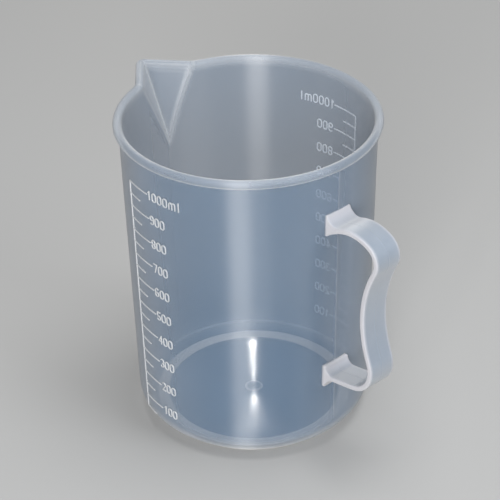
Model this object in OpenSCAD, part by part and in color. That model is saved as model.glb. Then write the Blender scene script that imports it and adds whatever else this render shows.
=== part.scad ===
// Beaker, 1000 ml, moulded in one piece from translucent polypropylene.
// Origin: centre of the underside, on the axis. +Z is up, +X points to the handle, the spout is at -X.
// Every node below is a region of the one moulding; neighbours meet face to face and do not overlap.

/* [Body] */
// Height over the rim
total_h = 143; // [120:1:170]
// Outer radius just under the rim
wall_r_top = 54.2; // [53:0.1:56]
// Outer radius of the straight wall carried down to the resting plane
wall_r_bottom = 51; // [49.5:0.1:52]
// Thickness of the wall, floor and spout
wall_t = 1.5; // [1.2:0.1:2]
// Outside radius of the corner between wall and floor
corner_r = 11; // [8:0.5:13]
// Diameter of the gate mark in the middle of the floor
gate_d = 8; // [4:0.5:12]
// Height of the gate mark above the floor
gate_h = 0.3; // [0.2:0.1:0.6]

/* [Foot] */
// Outer radius of the foot ring
foot_r = 43; // [41.5:0.1:44]
// Radial width of the foot ring
foot_w = 3; // [2.5:0.1:4]
// Height of the foot ring under the floor
foot_h = 1.5; // [1:0.1:2]

/* [Rim] */
// Diameter of the rolled bead
bead_d = 3.8; // [3.4:0.1:4.4]
// Radius from the axis to the middle of the bead
bead_ring_r = 54.6; // [54.4:0.1:55.2]

/* [Spout] */
// Half of the angle between the two sides of the spout, seen from above
spout_half_angle = 40.5; // [36:0.5:46]
// Distance from the axis to the point where the two lip lines cross
spout_reach = 70.4; // [66:0.1:74]
// Lean of the spout's inner crease away from vertical
spout_lean = 25; // [20:0.5:29]
// Radius of the bend in the lip at the tip
spout_bend_r = 2; // [2:0.1:3]

/* [Handle] */
// Width of the strap
strap_w = 13.5; // [11:0.5:16]
// Thickness of the strap
strap_t = 2.3; // [1.8:0.1:3]
// Distance from the axis to the start of the strap
strap_start_x = 61; // [60:0.1:62]
// Height of the start of the strap
strap_start_z = 115.7; // [110:0.1:118]
// Direction of the strap where it leaves the upper root
strap_start_angle = 21.5; // [18:0.5:25]
// Length of the straight strap before the lower root
strap_end_length = 11.7; // [10:0.1:13]
// Radius of the upper root's top fillet
upper_fillet_top = 5.2; // [4:0.1:6]
// Radius of the upper root's bottom fillet
upper_fillet_bottom = 30; // [25:1:40]
// Radius of the lower root's top fillet
lower_fillet_top = 3.5; // [3:0.1:4.5]
// Radius of the lower root's bottom fillet
lower_fillet_bottom = 7; // [6:0.1:8]

/* [Graduations] */
// Angle of the upright line of the front scale
front_angle = -107; // [-115:0.5:-100]
// Angle of the upright line of the back scale
back_angle = 79; // [70:0.5:85]
// Height of the top mark
full_z = 125.8; // [122:0.1:130]
// Width of the raised lines
line_w = 0.6; // [0.4:0.1:1]
// Height of the raised lines and numerals above the wall
relief = 0.4; // [0.3:0.05:0.6]
// How much lower the marks stand than the upright line
mark_step = 0.05; // [0.05:0.05:0.1]
// Sweep of the long marks in degrees
long_sweep = 14.5; // [12:0.5:16]
// Sweep of the short marks in degrees
short_sweep = 8.5; // [6:0.5:11]
// Height of the numerals
digit_h = 4.4; // [3.6:0.1:4.8]
// Width of a numeral
digit_w = 2.5; // [2:0.1:2.8]
// Stroke of the numerals
digit_stroke = 0.6; // [0.4:0.05:0.7]
// Step from one numeral to the next in degrees
digit_step = 3.25; // [3.1:0.05:3.8]

/* [Hidden] */
$fn = 96;
// Fine enough for the low relief to keep its height all the way round
fine_fn = 360;
glyph_fn = 32;

body_colour = [0.78, 0.83, 0.88, 0.6];
edge_colour = [0.86, 0.88, 0.9, 0.8];
handle_colour = [0.86, 0.88, 0.92, 0.9];
mark_colour = [0.95, 0.96, 0.97, 1];

bead_r = bead_d / 2;
bead_z = total_h - bead_r;
taper = (wall_r_top - wall_r_bottom) / (total_h - bead_d);
corner_z = foot_h + corner_r;
corner_x = wall_r_bottom + taper * corner_z - corner_r * sqrt(1 + taper * taper);
floor_z = foot_h + wall_t;
inner_r_bottom = wall_r_bottom - wall_t;

// How far a cutting shape runs past what it cuts
cut = 1;
// Depth and length of the spout's V before it is trimmed, both more than enough
spout_depth = 26;
spout_length = 80;
// Side of the blocks that trim it
trim = 2 * total_h;

// The radius and the turn of each bend of the strap; a negative turn is clockwise
strap_bends = [[20, -47.5], [7.8, -92], [54, 50], [12.2, -101.5]];
// Largest turn between two points on a bend
strap_facet = 3;
// Heights of the two roots on the wall, and a radius safely inside it where they start
upper_root_z = [109, 120.6];
lower_root_z = [33.8, 45.4];
root_inside_x = 48;

full_ml = 1000;
step_ml = 50;
long_step_ml = 100;
mm3_per_ml = 1000;

// Degrees from the end of a long mark to the middle of its first numeral
digit_gap = 2.3;
full_gap = 1.5;
// Places of the unit's letters, counted in numerals from the first one
m_place = 4.2;
l_place = 5.25;
first_digit = long_sweep + digit_gap;
full_start = long_sweep + full_gap;
unit_m = full_start + m_place * digit_step;
unit_l = full_start + l_place * digit_step;

// Half sizes of a numeral to the middle of its strokes
digit_x = (digit_w - digit_stroke) / 2;
digit_y = (digit_h - digit_stroke) / 2;
// Radius of each bowl of 3 and 8, and the height of the middle of the round ends of 0
bowl_r = digit_y / 2;
oval_y = digit_y - digit_x;
// Radius of the two arches of m, and the height they spring from
arch_r = 0.38 * digit_y;
arch_y = 0.2 * digit_y;
// Where the stem of 1 stands, and where its flag starts
one_stem = 0.2 * digit_x;
one_flag = [-0.6 * digit_x, 0.6 * digit_y];
// Where the stroke of 2 meets its bow
two_neck = [0.8 * digit_x, oval_y - digit_x / 2];
// Where the stem and the bar of 4 run
four_stem = 0.5 * digit_x;
four_bar = -0.4 * digit_y;
// The left side of 5, its lower end and the end of its top bar
five_left = -0.8 * digit_x;
five_low = 0.2 * digit_y;
five_right = 0.9 * digit_x;
// Where the foot of 7 stands
seven_foot = -0.2 * digit_x;

function wall_r(z) = wall_r_bottom + taper * z;
function cube_root(v) = pow(v, 1 / 3);
function inner_r(z) = inner_r_bottom + taper * z;
function mark_r3(ml) = pow(inner_r(full_z), 3) - 3 * taper * (full_ml - ml) * mm3_per_ml / PI;
function mark_z(ml) = (cube_root(mark_r3(ml)) - inner_r_bottom) / taper;

function left_of(a) = [-sin(a), cos(a)];
function turn_sign(i) = sign(strap_bends[i][1]);
function strap_heading(i) = i == 0 ? strap_start_angle : strap_heading(i - 1) + strap_bends[i - 1][1];
function strap_centre(i) = strap_point(i) + turn_sign(i) * strap_bends[i][0] * left_of(strap_heading(i));
function strap_on_bend(i, a) = strap_centre(i) - turn_sign(i) * strap_bends[i][0] * left_of(a);
function strap_point(i) = i == 0 ? [strap_start_x, strap_start_z] : strap_on_bend(i - 1, strap_heading(i));
function bend_steps(i) = ceil(abs(strap_bends[i][1]) / strap_facet);
function bend_angle(i, k) = strap_heading(i) + strap_bends[i][1] * k / bend_steps(i);
function bend_edge(i, side) = [
    for (k = [0:bend_steps(i) - 1])
        strap_on_bend(i, bend_angle(i, k)) + side * strap_t / 2 * left_of(bend_angle(i, k))
];

bends = len(strap_bends);
end_angle = strap_heading(bends);
end_point = strap_point(bends) + strap_end_length * [cos(end_angle), sin(end_angle)];

function straight_edge(side) = [
    for (p = [strap_point(bends), end_point]) p + side * strap_t / 2 * left_of(end_angle)
];
function strap_edge(side) = [
    for (i = [0:bends]) each (i < bends ? bend_edge(i, side) : straight_edge(side))
];
function backwards(list) = [for (k = [len(list) - 1:-1:0]) list[k]];

// The lip lines cross the bead's circle here
lip_slope = tan(spout_half_angle);
lip_a = 1 + lip_slope * lip_slope;
lip_c = spout_reach * spout_reach - bead_ring_r * bead_ring_r;
lip_run = (spout_reach - sqrt(spout_reach * spout_reach - lip_a * lip_c)) / lip_a;
lip_join = [lip_run - spout_reach, lip_run * lip_slope];
lip_join_angle = atan2(lip_join[1], -lip_join[0]);
lip_length = lip_run / cos(spout_half_angle);
bend_setback = spout_bend_r / tan(spout_half_angle);
bend_centre_x = spout_bend_r / sin(spout_half_angle) - spout_reach;
bend_sweep = 180 - 2 * spout_half_angle;
crease_x = bead_r / sin(spout_half_angle) - spout_reach;
section_half_angle = atan(lip_slope / cos(spout_lean));
spout_offset = wall_t / sin(section_half_angle);

module profile_outer() {
    polygon([
        [0, foot_h], [corner_x, foot_h], [corner_x, corner_z],
        [wall_r(corner_z), corner_z], [wall_r(bead_z), bead_z], [0, bead_z]
    ]);
    translate([corner_x, corner_z]) intersection() {
        circle(corner_r);
        translate([0, -corner_r]) square([corner_r + cut, corner_r]);
    }
}

module profile_inner() {
    polygon([
        [0, floor_z], [corner_x, floor_z], [corner_x, corner_z],
        [inner_r(corner_z), corner_z], [inner_r(bead_z + cut), bead_z + cut], [0, bead_z + cut]
    ]);
    translate([corner_x, corner_z]) intersection() {
        circle(corner_r - wall_t);
        translate([0, -corner_r]) square([corner_r, corner_r]);
    }
}

module profile_bead() {
    translate([bead_ring_r, bead_z]) circle(bead_r);
}

// The body as if it were solid, its seam turned away from anything that stands on the wall near angle 0
module body_solid() {
    rotate([0, 0, 180]) rotate_extrude($fn = fine_fn) profile_outer();
}

// A V of the spout, its crease running along the local Z axis and its opening towards +X
module spout_prism(offset_x) {
    half = spout_depth * tan(section_half_angle);
    translate([crease_x, 0, bead_z]) rotate([0, -spout_lean, 0])
        translate([-offset_x, 0, -spout_length / 2]) linear_extrude(spout_length)
            polygon([[0, 0], [spout_depth, half], [spout_depth, -half]]);
}

// One straight length of the lip, from past the rim to the bend at the tip
module lip_run_solid(side) {
    translate([-spout_reach, 0, bead_z]) rotate([0, 0, side * spout_half_angle])
        translate([bend_setback, 0, 0]) rotate([0, 90, 0])
            cylinder(h = lip_length - bend_setback + bead_d, r = bead_r);
}

module lip_side(side) {
    difference() {
        lip_run_solid(side);
        rotate([0, 0, -side * lip_join_angle])
            translate([-spout_reach, side > 0 ? 0 : -spout_reach, bead_z - bead_d])
                cube([spout_reach, spout_reach, 2 * bead_d]);
    }
}

module wall() {
    color(body_colour) difference() {
        rotate_extrude() difference() {
            profile_outer();
            profile_inner();
            profile_bead();
            square([corner_x, corner_z]);
        }
        spout_prism(0);
        lip_run_solid(1);
        lip_run_solid(-1);
    }
}

module floor() {
    color(body_colour) union() {
        translate([0, 0, foot_h]) cylinder(h = wall_t, r = corner_x);
        translate([0, 0, floor_z]) cylinder(h = gate_h, d = gate_d);
    }
}

module foot_ring() {
    color(edge_colour) rotate_extrude() difference() {
        translate([foot_r - foot_w, 0]) square([foot_w, corner_r]);
        profile_outer();
        translate([0, floor_z]) square([foot_r + cut, corner_r]);
    }
}

module rim() {
    color(edge_colour) rotate([0, 0, lip_join_angle - 180])
        rotate_extrude(angle = 360 - 2 * lip_join_angle) profile_bead();
}

module spout() {
    color(body_colour) difference() {
        spout_prism(spout_offset);
        spout_prism(0);
        body_solid();
        lip_run_solid(1);
        lip_run_solid(-1);
        // Everything above the middle of the lip, and everything past the inside of the wall
        translate([0, 0, bead_z + trim / 2]) cube(trim, center = true);
        translate([trim / 2 - inner_r_bottom, 0, 0]) cube(trim, center = true);
    }
}

module spout_lip() {
    color(edge_colour) union() {
        lip_side(1);
        lip_side(-1);
        translate([bend_centre_x, 0, bead_z]) rotate([0, 0, 90 + spout_half_angle])
            rotate_extrude(angle = bend_sweep) translate([spout_bend_r, 0]) circle(bead_r);
    }
}

// Lays local XY in the upright plane through the axis and the handle
module in_handle_plane() {
    rotate([90, 0, 0]) children();
}

module handle_grip() {
    color(handle_colour) in_handle_plane() translate([0, 0, -strap_w / 2]) linear_extrude(strap_w)
        polygon(concat(strap_edge(1), backwards(strap_edge(-1))));
}

// A root block whose end face carries the strap; span and fillets each give the lower value first
module root_block(point, up, span, fillets) {
    low = point - strap_t / 2 * up;
    high = point + strap_t / 2 * up;
    difference() {
        in_handle_plane() translate([0, 0, -strap_w / 2]) linear_extrude(strap_w) difference() {
            polygon([
                [root_inside_x, span[0]], [low[0], span[0]], low,
                high, [high[0], span[1]], [root_inside_x, span[1]]
            ]);
            translate(low - fillets[0] * up) circle(fillets[0]);
            translate(high + fillets[1] * up) circle(fillets[1]);
        }
        body_solid();
    }
}

module handle_upper_root() {
    up = left_of(strap_start_angle);
    color(handle_colour)
        root_block(strap_point(0), up, upper_root_z, [upper_fillet_bottom, upper_fillet_top]);
}

module handle_lower_root() {
    up = -left_of(end_angle);
    color(handle_colour)
        root_block(end_point, up, lower_root_z, [lower_fillet_bottom, lower_fillet_top]);
}

// A raised band that follows the wall from z0 to z1, sweeping from a0
module raised_band(z0, z1, a0, sweep, high) {
    rotate([0, 0, a0]) rotate_extrude(angle = sweep, $fn = fine_fn)
        polygon([
            [wall_r(z0) - cut, z0], [wall_r(z0) + high, z0],
            [wall_r(z1) + high, z1], [wall_r(z1) - cut, z1]
        ]);
}

module graduations() {
    half = line_w / 2;
    line_sweep = 2 * asin(half / wall_r_bottom);
    lowest = mark_z(step_ml) - half;
    difference() {
        union() {
            raised_band(lowest, full_z + half, -line_sweep / 2, line_sweep, relief);
            for (ml = [step_ml:step_ml:full_ml]) {
                z = mark_z(ml);
                sweep = ml % long_step_ml == 0 ? long_sweep : short_sweep;
                raised_band(z - half, z + half, -line_sweep / 4, sweep, relief - mark_step);
            }
        }
        body_solid();
    }
}

module stroke_line(a, b) {
    d = b - a;
    translate(a) rotate(atan2(d[1], d[0])) translate([-digit_stroke / 2, -digit_stroke / 2])
        square([norm(d) + digit_stroke, digit_stroke]);
}

module stroke_ring(c, r) {
    translate(c) difference() {
        circle(r + digit_stroke / 2, $fn = glyph_fn);
        circle(r - digit_stroke / 2, $fn = glyph_fn);
    }
}

// Part of a ring, from angle a0 through a sweep of up to 270 degrees
module stroke_bow(c, r, a0, sweep) {
    reach = 3 * r + digit_stroke;
    intersection() {
        stroke_ring(c, r);
        translate(c) polygon(concat(
            [[0, 0]],
            [for (k = [0:3]) let (a = a0 + k * sweep / 3) reach * [cos(a), sin(a)]]
        ));
    }
}

module glyph_0() {
    stroke_bow([0, oval_y], digit_x, 0, 180);
    stroke_bow([0, -oval_y], digit_x, 180, 180);
    for (s = [-1, 1])
        translate([s * digit_x - digit_stroke / 2, -oval_y]) square([digit_stroke, 2 * oval_y]);
}

module glyph_1() {
    stroke_line([one_stem, -digit_y], [one_stem, digit_y]);
    stroke_line(one_flag, [one_stem, digit_y]);
}

module glyph_2() {
    stroke_bow([0, oval_y], digit_x, -30, 210);
    stroke_line([-digit_x, -digit_y], two_neck);
    stroke_line([-digit_x, -digit_y], [digit_x, -digit_y]);
}

module glyph_3() {
    stroke_bow([0, bowl_r], bowl_r, -90, 240);
    stroke_bow([0, -bowl_r], bowl_r, -150, 240);
}

module glyph_4() {
    stroke_line([four_stem, -digit_y], [four_stem, digit_y]);
    stroke_line([four_stem, digit_y], [-digit_x, four_bar]);
    stroke_line([-digit_x, four_bar], [digit_x, four_bar]);
}

module glyph_5() {
    stroke_line([five_left, digit_y], [five_right, digit_y]);
    stroke_line([five_left, five_low], [five_left, digit_y]);
    stroke_bow([0, -oval_y], digit_x, -150, 290);
}

module glyph_6() {
    stroke_ring([0, -oval_y], digit_x);
    stroke_line([-digit_x, -oval_y], [-digit_x, oval_y]);
    stroke_bow([0, oval_y], digit_x, 40, 140);
}

module glyph_7() {
    stroke_line([-digit_x, digit_y], [digit_x, digit_y]);
    stroke_line([digit_x, digit_y], [seven_foot, -digit_y]);
}

module glyph_8() {
    stroke_ring([0, bowl_r], bowl_r);
    stroke_ring([0, -bowl_r], bowl_r);
}

module glyph_9() {
    rotate(180) glyph_6();
}

module glyph_m() {
    for (s = [-1, 0, 1]) stroke_line([2 * s * arch_r, -digit_y], [2 * s * arch_r, arch_y]);
    for (s = [-1, 1]) stroke_bow([s * arch_r, arch_y], arch_r, 0, 180);
}

module glyph_l() {
    stroke_line([0, -digit_y], [0, digit_y]);
}

module glyph(g) {
    if (g == 0) glyph_0();
    if (g == 1) glyph_1();
    if (g == 2) glyph_2();
    if (g == 3) glyph_3();
    if (g == 4) glyph_4();
    if (g == 5) glyph_5();
    if (g == 6) glyph_6();
    if (g == 7) glyph_7();
    if (g == 8) glyph_8();
    if (g == 9) glyph_9();
    if (g == "m") glyph_m();
    if (g == "l") glyph_l();
}

// Stands a flat glyph on the wall at a height and an angle, leaning with the taper
module on_wall(z, a) {
    rotate([0, 0, a]) translate([wall_r(z), 0, z]) rotate([0, atan(taper), 0]) rotate([90, 0, 90])
        translate([0, 0, -cut]) linear_extrude(cut + relief) children();
}

module hundreds(ml) {
    difference() {
        union() {
            on_wall(mark_z(ml), first_digit) glyph(ml / long_step_ml);
            for (i = [1, 2]) on_wall(mark_z(ml), first_digit + i * digit_step) glyph(0);
        }
        body_solid();
    }
}

module full_mark() {
    difference() {
        union() {
            on_wall(full_z, full_start) glyph(1);
            for (i = [1:3]) on_wall(full_z, full_start + i * digit_step) glyph(0);
            on_wall(full_z, unit_m) glyph("m");
            on_wall(full_z, unit_l) glyph("l");
        }
        body_solid();
    }
}

module numerals() {
    for (ml = [long_step_ml:long_step_ml:full_ml - 1]) hundreds(ml);
    full_mark();
}

module graduations_front() {
    color(mark_colour) rotate([0, 0, front_angle]) graduations();
}

module graduations_back() {
    color(mark_colour) rotate([0, 0, back_angle]) graduations();
}

module numerals_front() {
    color(mark_colour) rotate([0, 0, front_angle]) numerals();
}

module numerals_back() {
    color(mark_colour) rotate([0, 0, back_angle]) numerals();
}

wall();
floor();
foot_ring();
rim();
spout();
spout_lip();
handle_upper_root();
handle_grip();
handle_lower_root();
graduations_front();
graduations_back();
numerals_front();
numerals_back();
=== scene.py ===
"""Beaker, 1000 ml, one moulding in translucent plastic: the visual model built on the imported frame.

Shapes are worked out in millimetres and degrees; mesh_piece turns them into metres. +Z is up, the
handle is at +X and the spout at -X. An angle called psi is measured from the spout, round the axis.
"""
import math
from collections import namedtuple

import bpy
from mathutils import Matrix, Vector


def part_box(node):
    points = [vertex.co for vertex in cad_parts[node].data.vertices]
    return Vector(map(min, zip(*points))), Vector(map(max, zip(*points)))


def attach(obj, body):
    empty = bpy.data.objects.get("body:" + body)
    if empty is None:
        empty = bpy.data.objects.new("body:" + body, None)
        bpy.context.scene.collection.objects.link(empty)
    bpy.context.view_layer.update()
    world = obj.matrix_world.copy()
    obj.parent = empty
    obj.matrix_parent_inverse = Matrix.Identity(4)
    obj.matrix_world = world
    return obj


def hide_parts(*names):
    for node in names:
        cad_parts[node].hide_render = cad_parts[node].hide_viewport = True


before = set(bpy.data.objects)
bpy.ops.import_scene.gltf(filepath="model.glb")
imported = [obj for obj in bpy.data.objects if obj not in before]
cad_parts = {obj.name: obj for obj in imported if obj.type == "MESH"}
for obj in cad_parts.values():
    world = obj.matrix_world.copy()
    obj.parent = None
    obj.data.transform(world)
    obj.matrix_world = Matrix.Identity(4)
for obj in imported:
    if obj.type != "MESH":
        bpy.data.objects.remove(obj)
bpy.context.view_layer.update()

MM = 0.001
MM3_PER_ML = 1000


def box_mm(node):
    """Lowest and highest corner of a CAD node, in millimetres."""
    lo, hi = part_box(node)
    return Vector(lo) / MM, Vector(hi) / MM


# Sizes that the frame gives
rim_lo, rim_hi = box_mm("rim")
TOTAL_H = rim_hi.z
BEAD_R = (rim_hi.z - rim_lo.z) / 2
BEAD_Z = TOTAL_H - BEAD_R
RING_R = rim_hi.x - BEAD_R
WALL_R_TOP = box_mm("wall")[1].x
FOOT_H = box_mm("floor")[0].z
FOOT_R = box_mm("foot_ring")[1].x
STRAP_W = 2 * box_mm("handle_grip")[1].y

# Body
WALL_R_BOTTOM = 51.0
WALL_T = 1.5
CORNER_R = 11.0
FOOT_W = 3.0
TAPER = (WALL_R_TOP - WALL_R_BOTTOM) / (TOTAL_H - 2 * BEAD_R)
CORNER_Z = FOOT_H + CORNER_R
CORNER_X = WALL_R_BOTTOM + TAPER * CORNER_Z - CORNER_R * math.sqrt(1 + TAPER * TAPER)
FLOOR_Z = FOOT_H + WALL_T
RIM_FILLET_H = 1.2
WALL_TOP_Z = BEAD_Z - BEAD_R - RIM_FILLET_H

# Gate mark and the ripples round it
GATE_R = 4.0
GATE_H = 0.3
RIPPLES = 4
RIPPLE_H = 0.12
RIPPLE_STEP = 1.7
RIPPLE_FADE = 3.2
NUB_R = 1.4
NUB_H = 0.5

# Spout
SPOUT_HALF_ANGLE = math.radians(40.5)
SPOUT_REACH = 70.4
SPOUT_LEAN = math.radians(25)
LIP_BEND_R = 2.0
CREASE_R = 0.6
CREASE_HALF_W = 0.8
BLEND = 1.8
FACET_LEAN = math.sin(SPOUT_HALF_ANGLE) * math.tan(SPOUT_LEAN)
FACET_T = WALL_T * math.sqrt(1 + FACET_LEAN * FACET_LEAN)
SPOUT_WIDEST = math.radians(60)

# How white the plastic looks where it is thicker than the wall, from 0 for the wall to 1; the corner's ring
# and the gate's edge are painted highlights
RIM_THICK = 0.34
FOOT_THICK = 1.0
FOOT_INSIDE_THICK = 0.3
CORNER_THICK = 0.12
# A painted highlight: the paler ring half-way round the inside of the corner
CORNER_HIGHLIGHT = 0.5
GATE_THICK = 0.25
# A painted highlight: the gate mark's edge, whiter than its top
GATE_EDGE_HIGHLIGHT = 1.0
BLEND_THICK = 0.6
CREASE_THICK = 0.7
SEAM_THICK = 0.5

# The foot ring shows through the floor from this radius out, and its white fades over this width
SHADE_R = FOOT_R - FOOT_W - FOOT_H
FOOT_FADE = 0.3

# Handle: each bend of the strap has its radius and its turn, and a negative turn is clockwise
STRAP_T = 2.3
STRAP_START = Vector((61.0, 115.7))
STRAP_START_ANGLE = 21.5
STRAP_BENDS = ((20.0, -47.5), (7.8, -92.0), (54.0, 50.0), (12.2, -101.5))
STRAP_END_LENGTH = 11.7
STRAP_EDGE_R = 0.55
UPPER_FILLETS = {1: 5.2, -1: 30.0}
LOWER_FILLETS = {1: 7.0, -1: 3.5}
SINK = 0.5

# Parting line
SEAM_H = 0.1
SEAM_HALF_W = 0.3

# Scales
SCALE_ANGLES = {"front": -107.0, "back": 79.0}
FULL_ML = 1000
FULL_Z = 125.8
LONG_STEP = 100
STEP = 50
LONG_SWEEP = 14.5
SHORT_SWEEP = 8.5
LINE_W = 0.5
RELIEF = 0.4
ROOT = 0.12
DIGIT_H = 4.4
DIGIT_W = 2.5
DIGIT_STEP = 3.25
# Degrees from the end of a long mark to the middle of its first numeral, and places of the letters
DIGIT_GAP = 2.3
FULL_GAP = 1.5
M_PLACE = 4.2
L_PLACE = 5.25
FIRST_DIGIT = LONG_SWEEP + DIGIT_GAP
FULL_START = LONG_SWEEP + FULL_GAP
UNIT_M = FULL_START + M_PLACE * DIGIT_STEP
UNIT_L = FULL_START + L_PLACE * DIGIT_STEP

# Glyphs: half sizes, then the bowls of 3 and 8, the round ends of 0, the arches of m and single strokes
DX = (DIGIT_W - LINE_W) / 2
DY = (DIGIT_H - LINE_W) / 2
BOWL = DY / 2
OVAL = DY - DX
ARCH = 0.38 * DY
ARCH_FOOT = 0.2 * DY
ONE_STEM = 0.2 * DX
ONE_FLAG = (-0.6 * DX, 0.6 * DY)
FOUR_STEM = 0.5 * DX
FOUR_BAR = -0.4 * DY
FIVE_LEFT = -0.8 * DX
FIVE_LOW = 0.2 * DY
FIVE_RIGHT = 0.9 * DX
SEVEN_FOOT = -0.2 * DX

# Plastic
EDGE_COLOUR = (0.58, 0.58, 0.58)
SOLID_ROUGHNESS = 0.60

# Direction of the camera from the beaker, seen from above
VIEW_AZIMUTH = math.radians(-41.66)


# ---------------------------------------------------------------- camera

def add_camera():
    """The viewing angle: above the handle's side, looking down a little past the middle of the beaker."""
    aim = Vector((-0.3, -0.3, 76.1)) * MM
    distance = 855.5 * MM
    elevation = math.radians(32.5)
    roll = math.radians(-1.25)
    back = Vector((
        math.cos(elevation) * math.cos(VIEW_AZIMUTH),
        math.cos(elevation) * math.sin(VIEW_AZIMUTH),
        math.sin(elevation),
    ))
    data = bpy.data.cameras.new("camera")
    data.sensor_width = 36
    data.lens = 141.94
    data.clip_start = 0.01
    camera = bpy.data.objects.new("camera", data)
    turn = back.to_track_quat("Z", "Y").to_matrix().to_4x4() @ Matrix.Rotation(roll, 4, "Z")
    camera.matrix_world = Matrix.Translation(aim + back * distance) @ turn
    bpy.context.scene.collection.objects.link(camera)
    bpy.context.scene.camera = camera


# ---------------------------------------------------------------- mesh helpers

def mesh_piece(name, points, faces, material, whiteness=None):
    """A smooth-shaded piece from points in millimetres, riding on the one body there is."""
    mesh = bpy.data.meshes.new(name)
    mesh.from_pydata([Vector(p) * MM for p in points], [], faces)
    mesh.materials.append(material)
    mesh.shade_smooth()
    if whiteness is not None:
        layer = mesh.attributes.new("thick", "FLOAT", "POINT")
        layer.data.foreach_set("value", whiteness)
    mesh.validate()
    piece = bpy.data.objects.new(name, mesh)
    bpy.context.scene.collection.objects.link(piece)
    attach(piece, "root")
    return piece


def loft(rings):
    """Points and faces of a closed solid through rings of the same number of points."""
    size = len(rings[0])
    points = [p for ring in rings for p in ring]
    faces = []
    for k in range(len(rings) - 1):
        for j in range(size):
            a = k * size + j
            b = k * size + (j + 1) % size
            faces.append((a, b, b + size, a + size))
    last = (len(rings) - 1) * size
    faces.append(tuple(reversed(range(size))))
    faces.append(tuple(range(last, last + size)))
    return points, faces


def mixed(a, b, t):
    """A value the share t of the way from a to b."""
    return a + (b - a) * t


# ---------------------------------------------------------------- body

# One ring of the body: its height, its radius away from the spout, how far it stands out from the
# lip's line at the spout, how round the spout's crease is there, its share of the parting ridge, and
# how white it is, from its thickness and from painted highlights, from 0 for the wall to 1 for the foot
# ring
Row = namedtuple("Row", "z radius lip crease seam thick")
# So far in from the lip's line that the ring has no spout
NO_SPOUT = -60.0


def wall_radius(z):
    """Radius of the tapered wall's outside at a height."""
    return WALL_R_BOTTOM + TAPER * z


def inner_radius(z):
    """Radius of the tapered wall's inside at a height."""
    return wall_radius(z) - WALL_T


def inner_lip(z):
    """How far the spout's inside stands out from the lip's line at a height: below it, less than 0."""
    return -BEAD_R - (BEAD_Z - z) * FACET_LEAN


def outer_lip(z):
    """How far the spout's outside stands out from the lip's line at a height."""
    return inner_lip(z) + FACET_T


def spout_radius(psi, lip, crease):
    """Distance from the axis to the spout's V, whose crease is rounded."""
    if psi > SPOUT_WIDEST:
        return 0.0
    side = math.sin(SPOUT_HALF_ANGLE)
    centre = SPOUT_REACH + (lip - crease) / side
    tangent = math.atan2(crease * math.cos(SPOUT_HALF_ANGLE), centre + crease * side)
    if psi < tangent:
        return centre * math.cos(psi) + math.sqrt(max(crease ** 2 - (centre * math.sin(psi)) ** 2, 0))
    return (centre * side + crease) / math.sin(SPOUT_HALF_ANGLE + psi)


def ring_point(row, psi):
    """Radius and whiteness of a ring at an angle, from thickness and painted highlights: the wall and the
    spout meet in a fillet of thicker plastic.
    """
    spout = spout_radius(abs(psi), row.lip, row.crease)
    near = max(BLEND - abs(row.radius - spout), 0) / BLEND
    body = max(row.radius, spout) + near * near * BLEND / 4
    off_middle = abs(psi) * body
    off_seam = min(off_middle, (math.pi - abs(psi)) * body)
    ridge = row.seam * max(1 - off_seam / SEAM_HALF_W, 0)
    crease = max(1 - off_middle / CREASE_HALF_W, 0) if spout > row.radius else 0
    thick = max(row.thick, near * near * BLEND_THICK, crease * CREASE_THICK, ridge * SEAM_THICK)
    return body + SEAM_H * ridge, thick


def plain_row(z, radius, thick=0.0):
    """A ring that is round all the way, with no spout and no parting ridge."""
    return Row(z, radius, NO_SPOUT, CREASE_R, 0, thick)


def arc(centre, radius, start, end, steps):
    """Points on an arc in the (radius, height) plane, with both ends; angles in degrees."""
    angles = [math.radians(mixed(start, end, k / steps)) for k in range(steps + 1)]
    return [(centre[0] + radius * math.cos(a), centre[1] + radius * math.sin(a)) for a in angles]


def over_foot(radius):
    """Thickness of the floor at a radius: the foot ring and its inner side show through it."""
    past_edge = max(SHADE_R - radius, radius - FOOT_R, 0)
    return FOOT_THICK * max(1 - past_edge / FOOT_FADE, 0)


def gate_rows():
    """The raised round gate mark in the middle of the floor, its edge painted whitest as a highlight."""
    edge_r = 0.15
    edge = (GATE_R - edge_r, FLOOR_Z + GATE_H - edge_r)
    rows = [plain_row(FLOOR_Z + GATE_H, GATE_R * part, GATE_THICK) for part in (0.2, 0.4, 0.65)]
    return rows + [plain_row(z, r, GATE_EDGE_HIGHLIGHT) for r, z in arc(edge, edge_r, 90, 0, 3)]


def floor_rows():
    """The floor from near the axis outwards: the gate mark, its ripples, then flat to the foot ring."""
    rows = gate_rows()
    per_ripple = 8
    clear = 0.1
    for k in range(RIPPLES * per_ripple + 1):
        out = k * RIPPLE_STEP / per_ripple
        wave = math.sin(2 * math.pi * out / RIPPLE_STEP) * math.exp(-out / RIPPLE_FADE)
        rows.append(plain_row(FLOOR_Z + RIPPLE_H * wave, GATE_R + clear + out))
    flat_from = GATE_R + RIPPLES * RIPPLE_STEP
    rows += [plain_row(FLOOR_Z, mixed(flat_from, SHADE_R, t)) for t in (0.2, 0.5, 0.8)]
    rows += [plain_row(FLOOR_Z, SHADE_R - out, over_foot(SHADE_R - out)) for out in (FOOT_FADE, 0)]
    return rows


def inner_corner_rows():
    """Inside of the rounded corner, from the floor up to the wall, with a painted highlight as a paler ring
    half-way.
    """
    ring_angle = -41.0
    ring_spread = 12.0
    steps = 22
    rows = []
    for k, (r, z) in enumerate(arc((CORNER_X, CORNER_Z), CORNER_R - WALL_T, -90, 0, steps)):
        off_ring = abs(mixed(-90, 0, k / steps) - ring_angle)
        # The paler ring half-way round is a painted highlight, carried along with the thickness
        rows.append(plain_row(z, r, max(CORNER_HIGHLIGHT * (1 - off_ring / ring_spread), over_foot(r))))
    return rows


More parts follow.
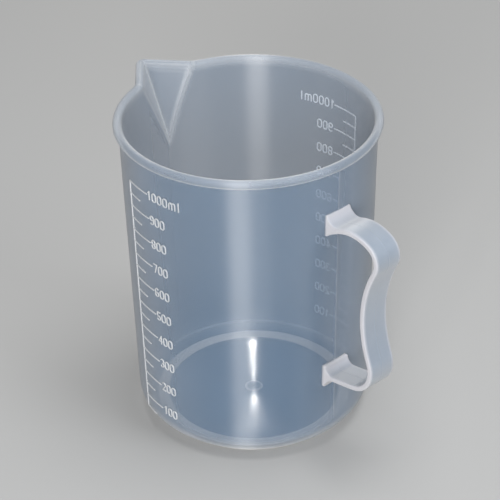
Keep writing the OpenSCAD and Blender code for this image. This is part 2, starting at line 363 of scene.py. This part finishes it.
def wall_heights():
    """Heights up the wall, closer together beside the spout."""
    spout_from = 102.0
    plain_steps = 11
    spout_step = 1.0
    low = [mixed(CORNER_Z, spout_from, k / plain_steps) for k in range(1, plain_steps)]
    steps = round((WALL_TOP_Z - spout_from) / spout_step)
    return low + [mixed(spout_from, WALL_TOP_Z, k / steps) for k in range(steps + 1)]


def rim_rows():
    """The bead from its inner side over the top to underneath, and the fillet from there to the wall."""
    rows = []
    for d, z in arc((0, BEAD_Z), BEAD_R, 180, -75, 20):
        rows.append(Row(z, RING_R + d, d, max(LIP_BEND_R + d, CREASE_R), 0, RIM_THICK))
    under = rows[-1]
    steps = 5
    for k in range(1, steps):
        t = k / steps
        z = mixed(under.z, WALL_TOP_Z, t * t)
        keep = (1 - t) ** 2
        rows.append(Row(
            z,
            mixed(wall_radius(z), under.radius, keep),
            mixed(outer_lip(z), under.lip, keep),
            mixed(CREASE_R + WALL_T, under.crease, keep),
            0,
            RIM_THICK * (1 - t),
        ))
    return rows


def corner_rows():
    """Outside of the rounded corner, from the wall down to just outside the foot ring."""
    beside_foot = 0.4
    fade_h = 4.0
    lowest = math.degrees(math.asin((FOOT_R + beside_foot - CORNER_X) / CORNER_R)) - 90
    return [
        plain_row(z, r, CORNER_THICK * min((CORNER_Z - z) / fade_h, 1))
        for r, z in arc((CORNER_X, CORNER_Z), CORNER_R, 0, lowest, 16)
    ]


def foot_rows():
    """The ring that the beaker stands on, the underside, and the nub that the gate leaves there."""
    edge_r = 0.5
    nub_edge = 0.3
    inside = FOOT_R - FOOT_W
    rows = [plain_row(z, r, FOOT_THICK) for r, z in arc((FOOT_R - edge_r, edge_r), edge_r, 0, -90, 4)]
    rows += [plain_row(z, r, FOOT_THICK) for r, z in arc((inside + edge_r, edge_r), edge_r, -90, -180, 4)]
    fillet = arc((inside - edge_r, FOOT_H - edge_r), edge_r, 0, 90, 3)
    rows += [plain_row(z, r, FOOT_INSIDE_THICK) for r, z in fillet]
    rows += [plain_row(FOOT_H, inside * part) for part in (0.75, 0.5, 0.25)]
    rows += [plain_row(FOOT_H, NUB_R + nub_edge), plain_row(FOOT_H - nub_edge, NUB_R)]
    rows.append(plain_row(FOOT_H - NUB_H, NUB_R - nub_edge))
    return rows


def body_rows():
    """Every ring of the body, from the middle of the floor, up inside, over the rim and down outside."""
    rows = floor_rows() + inner_corner_rows()
    rows += [Row(z, inner_radius(z), inner_lip(z), CREASE_R, 0, 0) for z in wall_heights()]
    rows += rim_rows()
    outer_crease = CREASE_R + WALL_T
    rows += [Row(z, wall_radius(z), outer_lip(z), outer_crease, 1, 0) for z in reversed(wall_heights())]
    return rows + corner_rows() + foot_rows()


def column_angles():
    """Angles round the body, both ways from the spout: closest together at its crease, one at each seam."""
    fine_to = 21.0
    fine_steps = 44
    fine_power = 1.35
    plain_step = 2.5
    seam_step = 0.35
    fine = [fine_to * (k / fine_steps) ** fine_power for k in range(fine_steps + 1)]
    steps = round((180 - seam_step - fine_to) / plain_step)
    plain = [mixed(fine_to, 180 - seam_step, k / steps) for k in range(1, steps + 1)]
    half = fine + plain
    return [math.radians(a) for a in [-a for a in reversed(half[1:])] + half + [180.0]]


def make_body(material):
    """Floor, wall, foot ring, rim and spout as one closed skin."""
    rows = body_rows()
    columns = column_angles()
    count = len(columns)
    points = []
    whiteness = []
    for row in rows:
        for psi in columns:
            r, thick = ring_point(row, psi)
            points.append((-r * math.cos(psi), -r * math.sin(psi), row.z))
            whiteness.append(thick)
    faces = []
    for k in range(len(rows) - 1):
        for j in range(count):
            a = k * count + j
            b = k * count + (j + 1) % count
            faces.append((a, a + count, b + count, b))
    for ring, z in ((0, rows[0].z), (len(rows) - 1, rows[-1].z)):
        points.append((0, 0, z))
        whiteness.append(0)
        pole = len(points) - 1
        for j in range(count):
            a = ring * count + j
            b = ring * count + (j + 1) % count
            faces.append((pole, a, b) if ring == 0 else (pole, b, a))
    body = mesh_piece("beaker_body", points, faces, material, whiteness)
    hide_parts("wall", "floor", "foot_ring", "rim", "spout", "spout_lip")


# ---------------------------------------------------------------- handle

def direction(angle):
    """Unit vector at an angle in degrees."""
    return Vector((math.cos(math.radians(angle)), math.sin(math.radians(angle))))


def left_of(angle):
    """Unit vector a quarter turn to the left of an angle."""
    return direction(angle + 90)


def strap_path():
    """Places and headings along the middle of the strap, from the upper root to the lower one."""
    place = STRAP_START
    heading = STRAP_START_ANGLE
    path = [(place, heading)]
    facet = 4.0
    for radius, turn in STRAP_BENDS:
        towards_centre = math.copysign(radius, turn)
        centre = place + towards_centre * left_of(heading)
        steps = math.ceil(abs(turn) / facet)
        for k in range(1, steps + 1):
            at = heading + turn * k / steps
            path.append((centre - towards_centre * left_of(at), at))
        place, heading = path[-1]
    steps = 3
    for k in range(1, steps + 1):
        path.append((place + direction(heading) * STRAP_END_LENGTH * k / steps, heading))
    return path


def fillet_edge(place, heading, side, radius, towards, heights):
    """One edge of a root, from the strap round a fillet to the wall or to the end of the root's height.

    Side is 1 for the strap's outer edge and -1 for its inner one.
    """
    left = left_of(heading)
    centre = place + side * (STRAP_T / 2 + radius) * left

    def at(phi):
        out = towards * direction(heading)
        return centre + radius * (out * math.sin(phi) - side * left * math.cos(phi))

    low = 0.0
    high = math.radians(100)
    halvings = 40
    for _ in range(halvings):
        middle = (low + high) / 2
        point = at(middle)
        if point.x > wall_radius(point.y) and heights[0] < point.y < heights[1]:
            low = middle
        else:
            high = middle
    steps = 12
    return [at(high * k / steps) for k in range(1, steps + 1)]


def strap_section(outer, inner, at_wall):
    """A ring round the strap between its outer and inner edge points, its corners rounded.

    At the wall the ring is pulled in to just under the wall's surface.
    """
    middle = (outer + inner) / 2
    half_t = (outer - inner).length / 2
    across = (outer - inner).normalized()
    flat = STRAP_W / 2 - STRAP_EDGE_R
    near_edge = 1.0
    face = (SEAM_HALF_W, 2 * SEAM_HALF_W, flat / 2, flat - near_edge)
    ring = []
    for side in (1, -1):
        ring.append((0.0, side * (half_t + SEAM_H)))
        ring += [(side * y, side * half_t) for y in face]
        for y, s in arc((flat, half_t - STRAP_EDGE_R), STRAP_EDGE_R, 90, 0, 4):
            ring.append((side * y, side * s))
        for y, s in arc((flat, STRAP_EDGE_R - half_t), STRAP_EDGE_R, 0, -90, 4):
            ring.append((side * y, side * s))
        ring += [(side * y, -side * half_t) for y in reversed(face)]
    points = []
    for y, s in ring:
        x, z = middle + across * s
        if at_wall:
            x = math.sqrt((wall_radius(z) - SINK) ** 2 - y * y)
        points.append((x, y, z))
    return points


def root_edges(place, heading, fillets, towards, node):
    """Pairs of outer and inner edge points of a root, from the strap to the wall."""
    heights = [corner.z for corner in box_mm(node)]
    edges = [fillet_edge(place, heading, side, fillets[side], towards, heights) for side in (1, -1)]
    return list(zip(*edges))


def handle_thickness(ring, rings, y):
    """How white the handle is: 1 on the strap's edges and at the roots, less on its broad faces."""
    root_rings = 16
    glow = 1.2
    from_root = min(ring, rings - 1 - ring) / root_rings
    from_edge = (STRAP_W / 2 - abs(y)) / glow
    return max(1 - from_root, 1 - from_edge, 0)


def make_handle(material):
    """The strap and its two flared roots as one closed skin that ends just inside the wall."""
    path = strap_path()
    strap = [(p + left_of(a) * STRAP_T / 2, p - left_of(a) * STRAP_T / 2) for p, a in path]
    upper = root_edges(*path[0], UPPER_FILLETS, -1, "handle_upper_root")
    lower = root_edges(*path[-1], LOWER_FILLETS, 1, "handle_lower_root")
    stations = lower[::-1] + strap[::-1] + upper
    rings = [strap_section(outer, inner, False) for outer, inner in stations]
    rings.insert(0, strap_section(*stations[0], True))
    rings.append(strap_section(*stations[-1], True))
    points, faces = loft(rings)
    whiteness = [handle_thickness(k, len(rings), p[1]) for k, ring in enumerate(rings) for p in ring]
    handle = mesh_piece("handle", points, faces, material, whiteness)
    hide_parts("handle_upper_root", "handle_grip", "handle_lower_root")


# ---------------------------------------------------------------- scales

def mark_z(ml):
    """Height at which the tapered inside holds so many millilitres, counted down from the full mark."""
    below = 3 * TAPER * (FULL_ML - ml) * MM3_PER_ML / math.pi
    return ((inner_radius(FULL_Z) ** 3 - below) ** (1 / 3) - inner_radius(0)) / TAPER


def on_wall(angle, z, high):
    """Point at an angle and a height, standing so high above the wall."""
    r = wall_radius(z) + high
    return (r * math.cos(math.radians(angle)), r * math.sin(math.radians(angle)), z)


def rib(path, width):
    """A low rounded rib along a path of (angle, height) places on the wall, with round ends."""
    span = math.radians(1) * wall_radius(FULL_Z / 2)
    half = width / 2
    flat = [Vector((a * span, z)) for a, z in path]
    first = (flat[0] - flat[1]).normalized()
    last = (flat[-1] - flat[-2]).normalized()
    round_end = [direction(a) for a in (10, 37, 66)]
    facets = 5
    stations = [(flat[0] + first * half * out, scale) for out, scale in round_end]
    stations += [(p, 1.0) for p in flat]
    stations += [(flat[-1] + last * half * out, scale) for out, scale in reversed(round_end)]
    rings = []
    for k, (place, scale) in enumerate(stations):
        before = stations[max(k - 1, 0)][0]
        after = stations[min(k + 1, len(stations) - 1)][0]
        along = (after - before).normalized()
        side = Vector((-along.y, along.x)) * half * scale
        dome = [direction(180 * j / facets) for j in range(facets + 1)]
        section = [(c, RELIEF * scale * s) for c, s in dome]
        section += [(-1, -ROOT), (1, -ROOT)]
        places = [(place + side * c, high) for c, high in section]
        rings.append([on_wall(at.x / span, at.y, high) for at, high in places])
    return loft(rings)


def bow(x, y, radius, start, sweep):
    """Points along an arc in a glyph."""
    facet = 18
    steps = math.ceil(abs(sweep) / facet)
    return [tuple(Vector((x, y)) + radius * direction(start + sweep * k / steps)) for k in range(steps + 1)]


def glyph_strokes():
    """Each glyph as a list of strokes in millimetres round its own middle."""
    oval = bow(0, OVAL, DX, 0, 180) + bow(0, -OVAL, DX, 180, 180) + [(DX, OVAL)]
    bowl_low = bow(0, -OVAL, DX, 90, 360)
    six = [bow(0, OVAL, DX, 40, 140) + [(-DX, -OVAL)], bowl_low]
    legs = [[(2 * s * ARCH, -DY), (2 * s * ARCH, ARCH_FOOT)] for s in (-1, 0, 1)]
    four_corner = (-DX, FOUR_BAR)
    five_corner = (FIVE_LEFT, DY)
    return {
        "0": [oval],
        "1": [[ONE_FLAG, (ONE_STEM, DY)], [(ONE_STEM, DY), (ONE_STEM, -DY)]],
        "2": [bow(0, OVAL, DX, 150, -180) + [(-DX, -DY)], [(-DX, -DY), (DX, -DY)]],
        "3": [bow(0, BOWL, BOWL, 150, -240), bow(0, -BOWL, BOWL, 90, -240)],
        "4": [[(FOUR_STEM, -DY), (FOUR_STEM, DY)], [(FOUR_STEM, DY), four_corner],
              [four_corner, (DX, FOUR_BAR)]],
        "5": [[(FIVE_RIGHT, DY), five_corner], [five_corner, (FIVE_LEFT, FIVE_LOW)],
              bow(0, -OVAL, DX, 140, -290)],
        "6": six,
        "7": [[(-DX, DY), (DX, DY)], [(DX, DY), (SEVEN_FOOT, -DY)]],
        "8": [bow(0, BOWL, BOWL, 90, 360), bow(0, -BOWL, BOWL, 90, 360)],
        "9": [[(-x, -y) for x, y in stroke] for stroke in six],
        "m": legs + [bow(s * ARCH, ARCH_FOOT, ARCH, 180, -180) for s in (-1, 1)],
        "l": [[(0, -DY), (0, DY)]],
    }


def glyph_ribs(glyph, angle, z):
    """The ribs of one glyph whose middle is at an angle and a height on the wall."""
    per_degree = math.radians(1) * wall_radius(z)
    return [rib([(angle + x / per_degree, z + y) for x, y in stroke], LINE_W) for stroke in glyph]


def scale_ribs(start):
    """Every rib of one scale: the upright line, a mark every 50 ml and a number every 100 ml."""
    glyphs = glyph_strokes()
    steps = 8
    ribs = [rib([(start, mark_z(STEP)), (start, FULL_Z)], LINE_W)]
    for ml in range(STEP, FULL_ML + 1, STEP):
        sweep = LONG_SWEEP if ml % LONG_STEP == 0 else SHORT_SWEEP
        z = mark_z(ml)
        ribs.append(rib([(start + sweep * k / steps, z) for k in range(steps + 1)], LINE_W))
        if ml % LONG_STEP:
            continue
        first = FULL_START if ml == FULL_ML else FIRST_DIGIT
        for k, digit in enumerate(str(ml)):
            ribs += glyph_ribs(glyphs[digit], start + first + k * DIGIT_STEP, z)
    ribs += glyph_ribs(glyphs["m"], start + UNIT_M, FULL_Z)
    ribs += glyph_ribs(glyphs["l"], start + UNIT_L, FULL_Z)
    return ribs


def make_scale(side, material):
    """All the raised lines and numerals of one side."""
    points = []
    faces = []
    for rib_points, rib_faces in scale_ribs(SCALE_ANGLES[side]):
        offset = len(points)
        points += rib_points
        faces += [tuple(i + offset for i in face) for face in rib_faces]
    scale = mesh_piece(f"scale_{side}", points, faces, material)
    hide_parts(f"graduations_{side}", f"numerals_{side}")


# ---------------------------------------------------------------- materials

def node_of(material, kind, **values):
    """A new node with some of its inputs set; an underscore in a name stands for a space."""
    node = material.node_tree.nodes.new(kind)
    for name, value in values.items():
        node.inputs[name.replace("_", " ")].default_value = value
    return node


def mix_of(material, kind, a, b, factor):
    """Output of a new Mix node; a and b are each a value or another node's output."""
    mix = material.node_tree.nodes.new("ShaderNodeMix")
    mix.data_type = kind
    named = {s.name: s for s in mix.inputs if s.enabled}
    for name, value in (("A", a), ("B", b), ("Factor", factor)):
        if isinstance(value, bpy.types.NodeSocket):
            material.node_tree.links.new(value, named[name])
        else:
            named[name].default_value = value
    return next(s for s in mix.outputs if s.enabled)


def math_of(material, operation, value, *numbers):
    """Output of a new Math node fed by another node's output, with numbers for its other inputs."""
    node = material.node_tree.nodes.new("ShaderNodeMath")
    node.operation = operation
    material.node_tree.links.new(value, node.inputs[0])
    for socket, number in zip(node.inputs[1:], numbers):
        socket.default_value = number
    return node.outputs["Value"]


def plastic(name, thin, solid, roughness, ior):
    """Milky polypropylene; thin and solid are each a colour and an opacity.

    The points' attribute of thickness and painted highlights goes from thin to solid, and a surface seen
    along itself is whiter.
    The colour has faint clouds and the skin has fine mould texture. The opacity scales the gloss
    too, so a thin plastic has a higher ior to keep it.
    """
    material = bpy.data.materials.new(name)
    material.use_nodes = True
    links = material.node_tree.links
    shader = material.node_tree.nodes["Principled BSDF"]
    shader.inputs["IOR"].default_value = ior
    place = node_of(material, "ShaderNodeTexCoord")
    thick = node_of(material, "ShaderNodeAttribute")
    thick.attribute_name = "thick"
    facing = node_of(material, "ShaderNodeLayerWeight", Blend=0.5)
    edge = node_of(material, "ShaderNodeMapRange", From_Min=0.25, From_Max=1.0, To_Max=0.75)
    links.new(facing.outputs["Facing"], edge.inputs["Value"])

    colour = mix_of(material, "RGBA", (*thin[0], 1), (*solid[0], 1), thick.outputs["Fac"])
    whiter = mix_of(material, "RGBA", colour, (*EDGE_COLOUR, 1), edge.outputs["Result"])
    clouds = node_of(material, "ShaderNodeTexNoise", Scale=35, Detail=3)
    links.new(place.outputs["Object"], clouds.inputs["Vector"])
    shade = node_of(material, "ShaderNodeMapRange", To_Min=0.92, To_Max=1.08)
    links.new(clouds.outputs["Fac"], shade.inputs["Value"])
    cloudy = node_of(material, "ShaderNodeHueSaturation")
    links.new(whiter, cloudy.inputs["Color"])
    links.new(shade.outputs["Result"], cloudy.inputs["Value"])
    links.new(cloudy.outputs["Color"], shader.inputs["Base Color"])

    opacity = mix_of(material, "FLOAT", thin[1], solid[1], thick.outputs["Fac"])
    links.new(mix_of(material, "FLOAT", opacity, 1.0, edge.outputs["Result"]), shader.inputs["Alpha"])

    skin = node_of(material, "ShaderNodeTexNoise", Scale=60, Detail=1)
    links.new(place.outputs["Object"], skin.inputs["Vector"])
    uneven = 0.02
    polish = node_of(material, "ShaderNodeMapRange", To_Min=roughness - uneven, To_Max=roughness + uneven)
    links.new(skin.outputs["Fac"], polish.inputs["Value"])
    dull = mix_of(material, "FLOAT", polish.outputs["Result"], SOLID_ROUGHNESS, thick.outputs["Fac"])
    links.new(dull, shader.inputs["Roughness"])
    bump = node_of(material, "ShaderNodeBump", Strength=0.01, Distance=0.0003)
    links.new(skin.outputs["Fac"], bump.inputs["Height"])
    links.new(bump.outputs["Normal"], shader.inputs["Normal"])
    return material


def add_turning_marks(material, roughness):
    """Fine marks round the axis, which draw a highlight on the floor out into a streak.

    On the floor the skin is smoother further out, so the streak keeps its width. Given is the
    roughness there at 10 mm from the axis.
    """
    given_at = 10 * MM
    links = material.node_tree.links
    shader = material.node_tree.nodes["Principled BSDF"]
    shader.inputs["Anisotropic"].default_value = 1.0
    shader.inputs["Anisotropic Rotation"].default_value = 0.25
    place = node_of(material, "ShaderNodeTexCoord")
    turning = node_of(material, "ShaderNodeVectorMath")
    turning.operation = "CROSS_PRODUCT"
    turning.inputs[0].default_value = (0, 0, 1)
    links.new(place.outputs["Object"], turning.inputs[1])
    links.new(turning.outputs["Vector"], shader.inputs["Tangent"])

    off_axis = node_of(material, "ShaderNodeVectorMath")
    off_axis.operation = "LENGTH"
    links.new(turning.outputs["Vector"], off_axis.inputs[0])
    finer = math_of(material, "INVERSE_SQRT", off_axis.outputs["Value"])
    streak = math_of(material, "MULTIPLY", finer, roughness * math.sqrt(given_at))
    on_floor = math_of(material, "LESS_THAN", off_axis.outputs["Value"], SHADE_R * MM)
    skin = shader.inputs["Roughness"].links[0].from_socket
    links.new(mix_of(material, "FLOAT", skin, streak, on_floor), shader.inputs["Roughness"])


def body_plastic():
    """Thin, bluish and see-through on the wall, milky white where it is solid."""
    thin = ((0.11, 0.19, 0.30), 0.34)
    solid = ((0.64, 0.65, 0.66), 0.62)
    material = plastic("body_plastic", thin, solid, 0.40, 2.1)
    add_turning_marks(material, 0.16)
    return material


def handle_plastic():
    """Nearly opaque, and whitest on the strap's edges and the roots."""
    thin = ((0.29, 0.34, 0.41), 0.70)
    solid = ((0.58, 0.58, 0.62), 0.80)
    return plastic("handle_plastic", thin, solid, 0.42, 1.5)


def mark_plastic(name, colour, glow):
    """Plastic of the raised scales, with a painted glow standing in for the light that a scale lit from
    behind lets through.
    """
    material = plastic(name, (colour, 1.0), (colour, 1.0), 0.35, 1.49)
    shader = material.node_tree.nodes["Principled BSDF"]
    shader.inputs["Emission Color"].default_value = (*colour, 1)
    shader.inputs["Emission Strength"].default_value = glow
    return material


def floor_paint():
    """Matt pale grey of the studio floor."""
    material = bpy.data.materials.new("floor_paint")
    material.use_nodes = True
    shader = material.node_tree.nodes["Principled BSDF"]
    shader.inputs["Base Color"].default_value = (0.40, 0.40, 0.396, 1)
    shader.inputs["Roughness"].default_value = 0.8
    return material


# ---------------------------------------------------------------- studio

def add_floor():
    """The studio floor, a flat square."""
    half = 8000
    corners = [(-half, -half, 0), (half, -half, 0), (half, half, 0), (-half, half, 0)]
    mesh = bpy.data.meshes.new("floor_plane")
    mesh.from_pydata([Vector(p) * MM for p in corners], [], [(0, 1, 2, 3)])
    mesh.materials.append(floor_paint())
    plane = bpy.data.objects.new("floor_plane", mesh)
    bpy.context.scene.collection.objects.link(plane)


def add_light(name, place, size, power, colour):
    """A soft rectangular light that faces the beaker."""
    data = bpy.data.lights.new(name, "AREA")
    data.shape = "RECTANGLE"
    data.size, data.size_y = size
    data.energy = power
    data.color = colour
    light = bpy.data.objects.new(name, data)
    light.location = place
    aim = Vector((0, 0, TOTAL_H / 2 * MM)) - light.location
    light.rotation_mode = "QUATERNION"
    light.rotation_quaternion = aim.to_track_quat("-Z", "Y")
    bpy.context.scene.collection.objects.link(light)
    return data


def add_streak_lamp():
    """A slim lamp behind the beaker, seen as a streak on its floor; the wall doesn't dim it."""
    away = 1.1
    place = (-away * math.cos(VIEW_AZIMUTH), -away * math.sin(VIEW_AZIMUTH), 0.52)
    data = add_light("streak", place, (0.008, 0.22), 2.0, (1.0, 0.95, 0.88))
    data.use_shadow = False


def add_studio():
    """Pale floor, soft lights and a dim even sky."""
    bpy.context.scene.view_settings.view_transform = "Standard"
    world = bpy.data.worlds.new("studio")
    world.use_nodes = True
    background = world.node_tree.nodes["Background"]
    background.inputs["Color"].default_value = (0.84, 0.90, 0.97, 1)
    background.inputs["Strength"].default_value = 0.20
    bpy.context.scene.world = world
    add_floor()
    add_light("key", (0.80, -0.98, 0.42), (0.4, 0.6), 17, (1.0, 0.98, 0.96))
    add_light("fill", (1.0, 0.25, 0.8), (0.6, 0.6), 4, (0.92, 0.96, 1.0))
    add_light("top", (0.1, 0.1, 1.3), (0.8, 0.8), 12, (1.0, 1.0, 1.0))
    add_streak_lamp()


# ---------------------------------------------------------------- the model

add_camera()
make_body(body_plastic())
make_handle(handle_plastic())
# Both scales are one plastic: the back one is painted lighter and given a painted glow, standing in for
# light that the wall keeps from it
make_scale("front", mark_plastic("front_marks", (0.52, 0.54, 0.56), 0.0))
make_scale("back", mark_plastic("back_marks", (0.85, 0.88, 0.92), 0.30))
add_studio()
